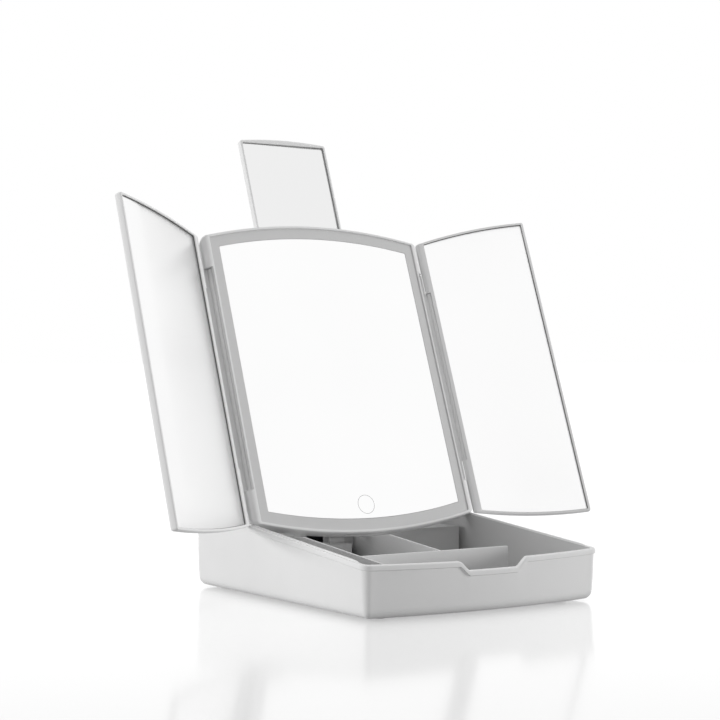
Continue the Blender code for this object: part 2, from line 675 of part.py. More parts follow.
# ---------------------------------------------------------------- wings
def make_wing(datum, side, sign):
    link_turn = math.radians(LINK_ANGLE[side])
    wing_turn = math.radians(WING_ANGLE[side] - LINK_ANGLE[side])
    link_axis = make_empty(
        f"{side}_link_axis", (sign * PIVOT_U, 0.0, PIVOT_N), datum, (0.0, -sign * link_turn, 0.0))
    wing_axis = make_empty(
        f"{side}_wing_axis", (sign * LINK_LENGTH, 0.0, 0.0), link_axis, (0.0, -sign * wing_turn, 0.0))
    make_link(link_axis, side, sign)
    make_wing_panel(wing_axis, side, sign)


def make_link(axis, side, sign):
    """The plate between the two hinge lines, with a barrel at each."""
    near_half, far_half = PANEL_SLOT - GAP, WING_SLOT - GAP
    link = cylinder(f"{side}_link", (0.0, 0.0, 0.0), "Y", LINK_R, 2 * near_half, "white_plastic", axis)
    far_end = (sign * LINK_LENGTH, 0.0, 0.0)
    far = cylinder(f"join_{side}_link_far", far_end, "Y", LINK_FAR_R, 2 * far_half, None, axis)
    join(link, far)
    apron = LINK_LENGTH - WING_R - GAP
    for name, reach, half in (("web", LINK_LENGTH, far_half), ("apron", apron, near_half)):
        low_x, high_x = sorted((0.0, sign * reach))
        low, high = (low_x, -half, LINK_WEB[0]), (high_x, half, LINK_WEB[1])
        join(link, box(f"join_{side}_link_{name}", low, high, None, axis))
    for name, x in (("panel", 0.0), ("wing", sign * LINK_LENGTH)):
        bore = cylinder(f"cut_{side}_link_{name}", (x, 0.0, 0.0), "Y", 1.35, 200.0, None, axis, sides=12)
        cut(link, bore)
    cylinder(f"{side}_link_pin", (0.0, 0.0, 0.0), "Y", 1.05, 184.0, "steel", axis, sides=12)


def make_wing_panel(axis, side, sign):
    def ring(hinge_inset, inset, n):
        low, high = hinge_inset - WING_R, WING_END - inset
        points = arc_outline(low, high, PANEL_PEAK - inset, apex=PIVOT_U, corner=1.5)
        return mirrored(at_height(points, n), sign)

    rings = [ring(2.0, 1.0, -WING_FRONT), ring(0.6, 0.3, -WING_FRONT + 0.9)]
    rings += [ring(0.0, 0.0, 0.0), ring(0.6, 0.0, WING_FRONT - 0.9), ring(1.9, 0.5, WING_FRONT)]

    def pocket(inset, n):
        low, high = 2.6 + inset, WING_END - 2.1 - inset
        points = arc_outline(low, high, PANEL_PEAK - 1.9 - inset, apex=PIVOT_U, corner=1.0)
        return mirrored(at_height(points, n), sign)

    rings += [pocket(0.0, WING_FRONT), pocket(0.0, 0.0)]
    frame = loft(f"{side}_wing_frame", rings, "white_plastic", axis)
    slot_x = sorted((-sign * 4.0, sign * (LINK_WEB[1] + GAP)))
    slot = box(f"cut_{side}_wing_slot", (slot_x[0], -WING_SLOT, -4.0), (slot_x[1], WING_SLOT, 4.0), None, axis)
    pocket_cut = cylinder(
        f"cut_{side}_wing_pocket", (0.0, 0.0, 0.0), "Y", LINK_FAR_R + GAP, 2 * WING_SLOT, None, axis, sides=16)
    bore = cylinder(f"cut_{side}_wing_bore", (0.0, 0.0, 0.0), "Y", 1.35, 160.0, None, axis, sides=12)
    cut(frame, slot, pocket_cut, bore)
    loft(f"{side}_wing_glass", [pocket(GAP, GAP), pocket(GAP, WING_GLASS_N)], "mirror_glass", axis)
    cylinder(f"{side}_wing_pin", (0.0, 0.0, 0.0), "Y", 1.05, 154.0, "steel", axis, sides=12)


# ---------------------------------------------------------------- cable
def smooth_route(points):
    """Reads a Catmull-Rom curve through the points at an even spacing."""
    knots = [Vector(point) for point in points]
    knots = [2 * knots[0] - knots[1]] + knots + [2 * knots[-1] - knots[-2]]
    fine = []
    for a, b, c, d in zip(knots, knots[1:], knots[2:], knots[3:]):
        for k in range(12):
            t = k / 12
            fine.append(0.5 * (2 * b + (c - a) * t + (2 * a - 5 * b + 4 * c - d) * t ** 2
                               + (3 * b - a - 3 * c + d) * t ** 3))
    fine.append(knots[-2])
    lengths = [0.0]
    for a, b in zip(fine, fine[1:]):
        lengths.append(lengths[-1] + (b - a).length)
    count = max(3, round(lengths[-1] / CORD_STEP) + 1)
    route = []
    k = 0
    for i in range(count):
        want = lengths[-1] * i / (count - 1)
        while k < len(lengths) - 2 and lengths[k + 1] < want:
            k += 1
        share = (want - lengths[k]) / (lengths[k + 1] - lengths[k])
        route.append(fine[k].lerp(fine[k + 1], share))
    return route


def tube(name, route):
    curve = bpy.data.curves.new(name, "CURVE")
    curve.dimensions = "3D"
    curve.bevel_depth = CORD_R * MM
    curve.bevel_resolution = 2
    curve.use_fill_caps = True
    spline = curve.splines.new("POLY")
    points = smooth_route(route)
    spline.points.add(len(points) - 1)
    for knot, point in zip(spline.points, points):
        knot.co = (*(point * MM), 1.0)
    obj = bpy.data.objects.new(name, curve)
    PARTS.objects.link(obj)
    curve.materials.append(MATERIALS["cable_jacket"])


def tapered(name, start, axis, length, wide, narrow, slot, corner=0.32):
    """A rounded block that narrows along an axis, as on a moulded plug."""
    rings = []
    for k, (w, h) in enumerate((wide, wide, narrow, narrow)):
        reach = (0.0, 0.72, 0.78, 1.0)[k] * length
        outline = []
        for sx, sy in ((1, 1), (-1, 1), (-1, -1), (1, -1)):
            soft = corner * min(w, h) / 2
            corners = [(w / 2, h / 2 - soft), (w / 2 - soft, h / 2)]
            if sx * sy < 0:
                corners.reverse()
            outline += [(sx * cx, sy * cy) for cx, cy in corners]
        if axis == "Y":
            rings.append([(start[0] + a, start[1] + reach, start[2] + b) for a, b in outline])
        else:
            rings.append([(start[0] + reach, start[1] + a, start[2] + b) for a, b in outline])
    return loft(name, rings, slot)


def make_coil():
    """The stored length of the lead as a turned ring, seven turns in two layers."""
    profile = [(7.2, 0.9), (6.4, 0.1), (-6.4, 0.1), (-7.2, 0.9), (-7.2, 2.6), (-5.4, 5.9), (-4.6, 6.7),
               (4.6, 6.7), (5.4, 5.9), (7.2, 2.6)]
    steps = 32
    rings = []
    for k in range(steps):
        spin = 2 * math.pi * k / steps
        rings.append([
            (COIL_CENTRE[0] + (COIL_R + r) * math.cos(spin), COIL_CENTRE[1] + (COIL_R + r) * math.sin(spin), h)
            for r, h in profile])
    loft("cable_coil", rings, "cable_jacket", loop=True)


def make_cable():
    """USB lead: small plug in the inlet, a coil behind the base, large plug beside it."""
    x, z = INLET_X, INLET_Z
    box("micro_plug_shell", (x - 2.9, 107.0, z - 0.7), (x + 2.9, 118.0, z + 0.7), "steel")
    tapered("micro_plug_body", (x, 118.3, z), "Y", 23.7, (10.4, 6.4), (5.4, 4.8), "cable_jacket")
    tube("cable_lead", LEAD_ROUTE)
    make_coil()
    tube("cable_tail", TAIL_ROUTE)
    px, py, pz = PLUG_A
    plug = tapered("join_plug_a_relief", PLUG_A, "X", 9.0, (4.8, 4.8), (5.8, 5.4), None)
    start = (px + 8.5, py, pz)
    body = tapered("usb_a_plug_body", start, "X", 24.0, (15.6, 7.6), (14.4, 6.6), "cable_jacket", 0.4)
    join(body, plug)
    shell_low = (px + 32.8, py - 6.0, pz - 2.25)
    box("usb_a_plug_shell", shell_low, (px + 46.8, py + 6.0, pz + 2.25), "steel", bevel=0.3)


make_base_shell()
make_battery_door()
make_feet()
make_dividers()
make_rear_housing()
make_panel_rest()
make_batteries()
make_electronics()
make_base_hinges()
make_support_arm()
make_panel()
make_cable()
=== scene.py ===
"""Looks of the tri-fold vanity mirror: fine shells, mirrors, hinges, lead, light and camera.

Shapes are worked out in millimetres in the base's, the panel's or a wing's own
frame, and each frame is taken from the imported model's joints.
"""
import json
import math

import bmesh
import bpy
from mathutils import Matrix, Vector


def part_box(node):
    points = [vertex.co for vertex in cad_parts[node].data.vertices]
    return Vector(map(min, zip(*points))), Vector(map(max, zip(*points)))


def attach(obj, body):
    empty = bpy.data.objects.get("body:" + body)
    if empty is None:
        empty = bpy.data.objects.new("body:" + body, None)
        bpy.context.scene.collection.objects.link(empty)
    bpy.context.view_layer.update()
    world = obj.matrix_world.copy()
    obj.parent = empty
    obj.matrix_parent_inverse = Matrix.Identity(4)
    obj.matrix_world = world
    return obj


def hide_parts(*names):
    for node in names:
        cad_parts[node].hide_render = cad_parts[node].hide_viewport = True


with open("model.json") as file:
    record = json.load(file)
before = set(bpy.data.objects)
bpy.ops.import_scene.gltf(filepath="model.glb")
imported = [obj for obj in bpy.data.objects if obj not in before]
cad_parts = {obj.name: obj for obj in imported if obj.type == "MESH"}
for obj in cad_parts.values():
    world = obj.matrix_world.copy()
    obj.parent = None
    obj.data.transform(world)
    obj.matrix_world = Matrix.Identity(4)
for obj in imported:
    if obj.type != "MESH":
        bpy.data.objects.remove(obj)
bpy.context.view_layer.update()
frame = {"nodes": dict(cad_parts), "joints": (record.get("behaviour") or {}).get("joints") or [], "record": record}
NODES = frame["nodes"]
JOINTS = {joint["name"]: joint for joint in frame["joints"]}
MM = 0.001
SIDES = {"left": -1.0, "right": 1.0}

# ---- base ----
BASE_W = 190.0                 # across the side walls, below the lip
BASE_D = 240.0                 # front to back at the middle
BASE_BOW = 9.5                 # how far the front and back walls bulge
BOW_R = ((BASE_W / 2) ** 2 + BASE_BOW ** 2) / (2 * BASE_BOW)
BASE_CORNER = 6.0
FOOT_H = 1.2
FLOOR_TOP = 3.6
WALL = 2.4
DRAFT = 1.4                    # the walls lean in by this much at the bottom
BOTTOM_FILLET = 6.5
FLOOR_FILLET = 3.0
OUTER_BEND_Z = 17.0            # the walls' draft eases off at these heights
INNER_BEND_Z = 18.0
RIM_FRONT = 35.0               # rim height at the front
RIM_SLOPE = 0.0976             # the rim climbs to the back
LIP_OUT = 1.1
LIP_H = 3.4
LIP_ROUND = 0.9                # rounding of the lip's outer edge
INNER_ROUND = 0.5              # rounding of the rim's inner edge
NOTCH_TOP = 27.5               # half widths and depth of the finger notch
NOTCH_BOTTOM = 19.5
NOTCH_DEPTH = 6.2
REAR_NOTCH_HALF = 44.0
REAR_NOTCH_RUN = 3.0           # width of its sloped ends
REAR_NOTCH_Z = 50.0
RIB_H = 0.9
RIB_T = 1.3
RIB_RISE = (                   # place along the wall, share of the rib's height there
    (-103.5, -1.0), (-101.5, 0.2), (-99.0, 0.85), (-95.0, 1.0), (90.0, 1.0), (95.0, 0.85), (97.0, 0.0))
INLET_HALF = (5.6, 3.4)        # half width and height of the opening for the plug
DOOR_GAP = 0.4
DOOR_WAY = 9.9                 # the battery door's slide and its clearance
DOOR_SEAT_Z = FOOT_H + 1.6
BAY_HALF_W = 32.0
BAY_END = 3.6                  # the door's ends overlap the bay by this much
BAY_TOP = 8.0
LABEL_RECESS = (28.0, 16.0, 0.4)   # half sizes and depth of the flat under the base

# ---- panel and wings ----
PANEL_HALF_W = 95.0
PANEL_PEAK = 119.5             # centre to the top of the arc
ARC_R = 397.0
RIM_N = 0.8                    # the rim stands this far in front of the glass
EDGE_R = 4.6                   # rounding of the frame's front edge along its sides
EDGE_END_R = 1.1               # the same along its top and bottom
FRAME_BACK = -8.4
LEDGE_N = -1.8                 # the frame's inner step under the light band
LEDGE_INSET = (8.2, 4.5)       # its reach from the sides and from the ends
PULL_LIP = ((-19.0, -122.0, -7.0), (19.0, -117.6, -4.6))
COVER_INSET = 1.5
COVER_N = (-8.7, -9.0)         # front of the back cover, and where its edge rounding starts
COVER_ROUND = (1.9, 1.7)       # the rounding's reach inward and backward
BAND_HALF_W = 89.0
BAND_PEAK = 116.9
GLASS_HALF_W = 81.9
GLASS_PEAK = 108.7
PIVOT_U = 90.1
PIVOT_N = -4.7
PANEL_SLOT = 83.6              # half lengths of the two hinge slots
WING_SLOT = 67.6
LINK_LENGTH = 9.4
LINK_R = 2.2                   # barrels of a link at the panel and at the wing
LINK_FAR_R = 2.1
LINK_WEB = (-2.2, -0.6)        # the plate between the two barrels
HINGE_GAP = 0.3
PIN_BORE_R = 1.2
WING_R = 3.3                   # the wing's rounded hinge edge
WING_END = 89.6
WING_FRONT = 2.7
WING_LIP = (2.6, 2.1, 1.9)     # the wing's lip from its hinge line, free edge and ends
WING_GLASS_N = 1.5
SHADE_LINE_T = 0.28                  # width of the dark line round the side and pull-up mirrors, painted shade of the gap under their rims
TOP_HALF_W = 37.9
TOP_PEAK = 197.9               # above the panel's centre, pulled up
TOP_BOTTOM = 91.9
TOP_FRONT_N = -14.0
TOP_BACK_N = -19.0
TOP_LIP = 1.7
TOP_POCKET_DROP = 2.1          # the pocket's straight top lies this far under the bow
TOUCH_V = -98.3
TOUCH_R = (6.75, 6.98)
TOUCH_H = 0.03

# ---- lead ----
CORD_R = 1.75
CORD_REST_Z = 1.9              # height of its middle where it lies on the floor
TURN_GAP = 3.6
COIL_R = 20.0                  # radius to the middle of the turns
COIL_CENTRE = (0.0, 166.0)
TURN_STEPS = 24

SMOOTH_ANGLE = math.radians(32.0)
SHARP_ANGLE = math.radians(40.0)


# ---------------------------------------------------------------- camera, light, floor
def make_camera():
    data = bpy.data.cameras.new("camera")
    data.lens = 90.0
    data.sensor_width = 36.0
    camera = bpy.data.objects.new("camera", data)
    camera.location = (-0.7164, -1.0442, 0.1640)
    camera.rotation_euler = (math.radians(90.0), 0.0, math.radians(-33.51))
    bpy.context.scene.collection.objects.link(camera)
    bpy.context.scene.camera = camera


def make_area(name, location, target, size, power):
    data = bpy.data.lights.new(name, "AREA")
    data.shape = "RECTANGLE"
    data.size, data.size_y = size
    data.energy = power
    light = bpy.data.objects.new(name, data)
    light.location = location
    aim = Vector(target) - Vector(location)
    light.rotation_euler = aim.to_track_quat("-Z", "Y").to_euler()
    light.visible_glossy = False
    bpy.context.scene.collection.objects.link(light)


def make_world():
    """White all round for the eye and for reflections, dimmer for soft fill light."""
    world = bpy.data.worlds.new("studio")
    bpy.context.scene.world = world
    world.use_nodes = True
    tree = world.node_tree
    nodes, links = tree.nodes, tree.links
    nodes.clear()
    path = nodes.new("ShaderNodeLightPath")
    seen = nodes.new("ShaderNodeBackground")
    seen.inputs["Color"].default_value = (1.0, 1.0, 1.0, 1.0)
    seen.inputs["Strength"].default_value = 1.0
    fill = nodes.new("ShaderNodeBackground")
    fill.inputs["Color"].default_value = (1.0, 1.0, 1.0, 1.0)
    fill.inputs["Strength"].default_value = 0.36
    mix = nodes.new("ShaderNodeMixShader")
    out = nodes.new("ShaderNodeOutputWorld")
    links.new(path.outputs["Is Diffuse Ray"], mix.inputs["Fac"])
    links.new(seen.outputs["Background"], mix.inputs[1])
    links.new(fill.outputs["Background"], mix.inputs[2])
    links.new(mix.outputs["Shader"], out.inputs["Surface"])


def make_stage():
    """A white, slightly glossy floor that gives the object little light from below."""
    bm = bmesh.new()
    bmesh.ops.create_grid(bm, x_segments=1, y_segments=1, size=60.0)
    mesh = bpy.data.meshes.new("floor")
    bm.to_mesh(mesh)
    bm.free()
    floor = bpy.data.objects.new("floor", mesh)
    bpy.context.scene.collection.objects.link(floor)
    material = bpy.data.materials.new("floor_gloss")
    material.use_nodes = True
    tree = material.node_tree
    nodes, links = tree.nodes, tree.links
    seen = nodes["Principled BSDF"]
    seen.inputs["Base Color"].default_value = (0.42, 0.42, 0.42, 1.0)
    seen.inputs["Roughness"].default_value = 0.12
    seen.inputs["Emission Color"].default_value = (1.0, 1.0, 1.0, 1.0)
    seen.inputs["Emission Strength"].default_value = 0.42
    dim = nodes.new("ShaderNodeBsdfDiffuse")
    dim.inputs["Color"].default_value = (0.48, 0.48, 0.48, 1.0)
    path = nodes.new("ShaderNodeLightPath")
    mix = nodes.new("ShaderNodeMixShader")
    links.new(path.outputs["Is Diffuse Ray"], mix.inputs["Fac"])
    links.new(seen.outputs["BSDF"], mix.inputs[1])
    links.new(dim.outputs["BSDF"], mix.inputs[2])
    links.new(mix.outputs["Shader"], nodes["Material Output"].inputs["Surface"])
    mesh.materials.append(material)


# ---------------------------------------------------------------- materials
def new_material(name):
    material = bpy.data.materials.new(name)
    material.use_nodes = True
    return material, material.node_tree, material.node_tree.nodes["Principled BSDF"]


def add_noise(tree, scale, detail=3.0, roughness=0.5):
    coords = tree.nodes.new("ShaderNodeTexCoord")
    noise = tree.nodes.new("ShaderNodeTexNoise")
    noise.inputs["Scale"].default_value = scale
    noise.inputs["Detail"].default_value = detail
    noise.inputs["Roughness"].default_value = roughness
    tree.links.new(coords.outputs["Object"], noise.inputs["Vector"])
    return noise


def vary_colour(tree, shader, colour, amount, scale):
    """Base colour that drifts a little over the surface."""
    noise = add_noise(tree, scale)
    ramp = tree.nodes.new("ShaderNodeValToRGB")
    ramp.color_ramp.elements[0].position = 0.3
    ramp.color_ramp.elements[1].position = 0.7
    ramp.color_ramp.elements[0].color = (*[c * (1 - amount) for c in colour], 1.0)
    ramp.color_ramp.elements[1].color = (*[min(c * (1 + amount), 1.0) for c in colour], 1.0)
    tree.links.new(noise.outputs["Fac"], ramp.inputs["Fac"])
    tree.links.new(ramp.outputs["Color"], shader.inputs["Base Color"])


def vary_roughness(tree, shader, low, high, scale):
    noise = add_noise(tree, scale, 4.0)
    span = tree.nodes.new("ShaderNodeMapRange")
    span.inputs["From Min"].default_value = 0.3
    span.inputs["From Max"].default_value = 0.7
    span.inputs["To Min"].default_value = low
    span.inputs["To Max"].default_value = high
    tree.links.new(noise.outputs["Fac"], span.inputs["Value"])
    tree.links.new(span.outputs["Result"], shader.inputs["Roughness"])


def add_bump(tree, shader, scale, strength, distance):
    noise = add_noise(tree, scale, 4.0, 0.6)
    bump = tree.nodes.new("ShaderNodeBump")
    bump.inputs["Strength"].default_value = strength
    bump.inputs["Distance"].default_value = distance
    tree.links.new(noise.outputs["Fac"], bump.inputs["Height"])
    tree.links.new(bump.outputs["Normal"], shader.inputs["Normal"])


def moulded(name, colour, roughness, coat=0.0, grain=0.25):
    """Injection-moulded plastic: a slight drift of tone, fine grain, uneven gloss."""
    material, tree, shader = new_material(name)
    vary_colour(tree, shader, colour, 0.012, 22.0)
    vary_roughness(tree, shader, roughness - 0.05, roughness + 0.05, 60.0)
    add_bump(tree, shader, 2600.0, grain, 0.00004)
    shader.inputs["Coat Weight"].default_value = coat
    shader.inputs["Coat Roughness"].default_value = 0.12
    return material


def silvered(name, colour, haze):
    """Silvered glass with faint wiping marks that only change its gloss."""
    material, tree, shader = new_material(name)
    vary_colour(tree, shader, colour, 0.006, 9.0)
    vary_roughness(tree, shader, haze, haze + 0.03, 14.0)
    shader.inputs["Metallic"].default_value = 1.0
    return material


def brushed(name, colour, roughness):
    material, tree, shader = new_material(name)
    vary_colour(tree, shader, colour, 0.06, 180.0)
    vary_roughness(tree, shader, roughness - 0.08, roughness + 0.08, 400.0)
    add_bump(tree, shader, 900.0, 0.3, 0.00003)
    shader.inputs["Metallic"].default_value = 1.0
    return material


def make_materials():
    return {
        "white_plastic": moulded("white_abs", (0.80, 0.80, 0.80), 0.36, coat=0.15),
        # tray grey: partly the housing's own grey, partly painted shade matched to the dim inside of the tray
        "tray_plastic": moulded("tray_abs_painted_shade", (0.58, 0.58, 0.58), 0.48),
        "divider_plastic": moulded("divider_abs", (0.68, 0.68, 0.68), 0.45),
        "mirror_glass": silvered("silvered_glass", (0.975, 0.975, 0.975), 0.015),
        "wing_mirror": silvered("wing_silvered_glass", (0.97, 0.97, 0.97), 0.28),
        "small_mirror": silvered("small_silvered_glass", (0.86, 0.86, 0.86), 0.10),
        "diffuser": moulded("frosted_band", (0.65, 0.65, 0.65), 0.5, coat=0.1, grain=0.5),
        "dark_plastic": moulded("black_plastic", (0.045, 0.045, 0.045), 0.5),
        "steel": brushed("plated_steel", (0.60, 0.60, 0.61), 0.32),
        "rubber": moulded("foot_rubber", (0.66, 0.66, 0.66), 0.75, grain=0.6),
        "circuit_board": moulded("solder_mask", (0.03, 0.17, 0.07), 0.4, coat=0.3),
        "copper": brushed("copper_pad", (0.80, 0.45, 0.28), 0.35),
        "cell_wrap": moulded("cell_wrap", (0.10, 0.13, 0.28), 0.35, coat=0.3),
        "cable_jacket": moulded("cable_pvc", (0.80, 0.80, 0.80), 0.42, grain=0.4),
        "ring_print": moulded("ring_print", (0.20, 0.20, 0.20), 0.5),
        # dark lines round the side and pull-up mirrors: painted shade of the gap under their rims
        "wing_shade_line": moulded("wing_glass_shade_line", (0.16, 0.16, 0.16), 0.6),
        "small_shade_line": moulded("small_glass_shade_line", (0.34, 0.34, 0.34), 0.6),
    }


# ---------------------------------------------------------------- mesh helpers
def finish_mesh(name, bm, material=None, body=None, node=None, place=None):
    """Makes a piece from a bmesh in millimetres, places it and hands it to its body."""
    bmesh.ops.recalc_face_normals(bm, faces=bm.faces)
    if place is None:
        place = Matrix.Scale(MM, 4)
    bm.transform(place)
    mesh = bpy.data.meshes.new(name)
    bm.to_mesh(mesh)
    bm.free()
    mesh.shade_smooth()
    mesh.set_sharp_from_angle(angle=SMOOTH_ANGLE)
    piece = bpy.data.objects.new(name, mesh)
    bpy.context.scene.collection.objects.link(piece)
    if material is not None:
        mesh.materials.append(MATERIALS[material])
    if body is not None:
        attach(piece, body)
        if node is not None:
            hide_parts(node)
    return piece


def loft(name, rings, material=None, body=None, node=None, place=None, loop=False):
    """Skins rings of equal point count; the end rings are capped unless looped."""
    bm = bmesh.new()
    rows = [[bm.verts.new(point) for point in ring] for ring in rings]
    pairs = list(zip(rows, rows[1:]))
    if loop:
        pairs.append((rows[-1], rows[0]))
    count = len(rows[0])
    for low, high in pairs:
        for i in range(count):
            j = (i + 1) % count
            bm.faces.new((low[i], low[j], high[j], high[i]))
    if not loop:
        bm.faces.new(rows[0])
        bm.faces.new(rows[-1])
    return finish_mesh(name, bm, material, body, node, place)


def round_edges(bm, edges, radius, segments=3):
    bmesh.ops.bevel(
        bm, geom=edges, offset=radius, segments=segments, profile=0.5, affect="EDGES")


def box_piece(name, low, high, place=None, bevel=0.0):
    """A plain box between two corners, for the booleans."""
    bm = bmesh.new()
    bmesh.ops.create_cube(bm, size=1.0)
    for vert in bm.verts:
        vert.co = Vector([low[k] + (vert.co[k] + 0.5) * (high[k] - low[k]) for k in range(3)])
    if bevel:
        round_edges(bm, bm.edges[:], bevel)
    return finish_mesh(name, bm, place=place)


def round_bar(name, centre, radius, length, material=None, body=None, node=None, place=None,
              upright=False, sides=40, bevel=0.0):
    """A round bar along the hinge lines, or along Z when upright."""
    turn = Matrix.Identity(4) if upright else Matrix.Rotation(math.pi / 2, 4, "X")
    bm = bmesh.new()
    bmesh.ops.create_cone(
        bm, cap_ends=True, segments=sides, radius1=radius, radius2=radius, depth=length,
        matrix=Matrix.Translation(centre) @ turn)
    if bevel:
        rims = [edge for edge in bm.edges if any(len(face.verts) > 4 for face in edge.link_faces)]
        round_edges(bm, rims, bevel)
    return finish_mesh(name, bm, material, body, node, place)


def carve(piece, cutters, operation="DIFFERENCE"):
    """Applies exact booleans and removes the objects they used."""
    for cutter in cutters:
        modifier = piece.modifiers.new("carve", "BOOLEAN")
        modifier.operation = operation
        modifier.solver = "EXACT"
        modifier.object = cutter
    bpy.context.view_layer.update()
    depsgraph = bpy.context.evaluated_depsgraph_get()
    mesh = bpy.data.meshes.new_from_object(piece.evaluated_get(depsgraph))
    piece.modifiers.clear()
    piece.data = mesh
    mesh.shade_smooth()
    mesh.set_sharp_from_angle(angle=SMOOTH_ANGLE)
    for cutter in cutters:
        bpy.data.objects.remove(cutter, do_unlink=True)


def body_of(node):
    for name, members in frame["record"]["behaviour"]["bodies"].items():
        if node in members:
            return name
    raise ValueError(node)


def rounded_copy(node, material, radius, segments=3):
    """A CAD node again, with its hard edges rounded."""
    bm = bmesh.new()
    bm.from_mesh(NODES[node].data)
    bmesh.ops.remove_doubles(bm, verts=bm.verts, dist=0.00001)
    bmesh.ops.dissolve_limit(bm, angle_limit=math.radians(1.0), verts=bm.verts, edges=bm.edges)
    sharp = [edge for edge in bm.edges
             if len(edge.link_faces) == 2 and edge.calc_face_angle(0.0) > SHARP_ANGLE]
    bmesh.ops.bevel(
        bm, geom=sharp, offset=radius * MM, segments=segments, profile=0.5, affect="EDGES",
        clamp_overlap=True)
    finish_mesh(f"{node}_fine", bm, material, body_of(node), node, Matrix.Identity(4))


# ---------------------------------------------------------------- frames
def panel_place():
    """Millimetres along, up and out of the centre glass, to the world in metres."""
    left, right = JOINTS["left_link_swing"], JOINTS["right_link_swing"]
    up = Vector(left["axis"]).normalized()
    across = Vector((1.0, 0.0, 0.0))
    out = across.cross(up)
    origin = (Vector(left["pos_m"]) + Vector(right["pos_m"])) / 2 - out * PIVOT_N * MM
    turn = Matrix((across, up, out)).transposed().to_4x4()
    return Matrix.Translation(origin) @ turn @ Matrix.Scale(MM, 4)


def hinge_place(side, wing):
    """The same for a hinge link, or for a wing, about its own hinge line."""
    link_joint, wing_joint = JOINTS[f"{side}_link_swing"], JOINTS[f"{side}_wing_swing"]
    lean = -link_joint["range_deg"][0]
    joint = link_joint
    if wing:
        lean -= wing_joint["range_deg"][0]
        joint = wing_joint
    swing = Matrix.Rotation(-SIDES[side] * math.radians(lean), 4, "Y")
    turn = PANEL.to_quaternion().to_matrix().to_4x4() @ swing
    return Matrix.Translation(joint["pos_m"]) @ turn @ Matrix.Scale(MM, 4)


# ---------------------------------------------------------------- outlines
def rim_height(y):
    return RIM_FRONT + RIM_SLOPE * (y + BASE_D / 2)


def arc_drop(x, radius):
    return radius - math.sqrt(radius * radius - x * x)


def spread(start, end, count):
    return [start + (end - start) * i / count for i in range(count)]


def quarter(count):
    """(cosine, sine) pairs from 0 to 90 degrees."""
    turns = [math.pi / 2 * i / count for i in range(count + 1)]
    return [(math.cos(turn), math.sin(turn)) for turn in turns]


def base_outline(inset):
    """Plan of the base: bowed front and back, straight sides, round corners.

    The points crowd together where the notches slope.
    """
    half = BASE_W / 2 - inset
    corner = max(BASE_CORNER - inset, 1.0)
    back = BASE_D / 2 - inset
    edge = half - corner
    ease = 1.2
    marks = [-edge, -60.0, -REAR_NOTCH_HALF - REAR_NOTCH_RUN, -REAR_NOTCH_HALF,
             -NOTCH_TOP - ease, -NOTCH_TOP + ease, -NOTCH_BOTTOM - ease, -NOTCH_BOTTOM + ease]
    steps = [5, 3, 4, 4, 3, 4, 3, 5]
    marks += [-mark for mark in reversed(marks)]
    steps += list(reversed(steps[:-1]))
    stations = []
    for a, b, count in zip(marks, marks[1:], steps):
        stations += spread(a, b, count)
    stations.append(edge)
    side = back - arc_drop(edge, BOW_R) - corner
    arc = quarter(8)
    points = [(x, -back + arc_drop(x, BOW_R)) for x in stations[:-1]]
    points += [(edge + corner * s, -side - corner * c) for c, s in arc]
    points += [(half, y) for y in spread(-side, side, 12)[1:]]
    points += [(edge + corner * c, side + corner * s) for c, s in arc]
    points += [(x, back - arc_drop(x, BOW_R)) for x in reversed(stations[1:-1])]
    points += [(-edge - corner * s, side + corner * c) for c, s in arc]
    points += [(-half, y) for y in spread(side, -side, 12)[1:]]
    points += [(-edge - corner * c, -side - corner * s) for c, s in arc[:-1]]
    return points


def eased(value):
    """0 to 1 with rounded ends."""
    value = min(max(value, 0.0), 1.0)
    return value * value * (3.0 - 2.0 * value) * 0.5 + value * 0.5


def notch_at(x, y):
    """How far a notch lowers the rim: the finger notch in front, the mirror's behind."""
    if y > BASE_D / 4:
        share = (REAR_NOTCH_HALF + REAR_NOTCH_RUN - abs(x)) / REAR_NOTCH_RUN
        return (rim_height(y) - REAR_NOTCH_Z) * eased(share)
    if y > -BASE_D / 4:
        return 0.0
    share = (NOTCH_TOP - abs(x)) / (NOTCH_TOP - NOTCH_BOTTOM)
    return NOTCH_DEPTH * eased(share)


def arc_outline(x0, x1, peak, apex=0.0, corner=2.0, steps=40):
    """A plate between two upright sides whose top and bottom are arcs about an apex."""
    radius = ARC_R - (PANEL_PEAK - peak)

    def top(x):
        return peak - arc_drop(x - apex, radius)

    stations = [x0 + corner + (x1 - x0 - 2 * corner) * i / steps for i in range(steps + 1)]
    arc = quarter(6)[1:]
    height = top(x1 - corner) - corner
    right = [(x1 - corner + corner * s, height + corner * c) for c, s in arc]
    height = top(x0 + corner) - corner
    left = [(x0 + corner - corner * s, height + corner * c) for c, s in arc]
    points = [(x, -top(x)) for x in stations]
    points += [(x, -y) for x, y in right]
    points += list(reversed(right))
    points += [(x, top(x)) for x in reversed(stations)]
    points += left
    points += [(x, -y) for x, y in reversed(left)]
    return points


def at_height(points, z):
    return [(x, y, z) for x, y in points]


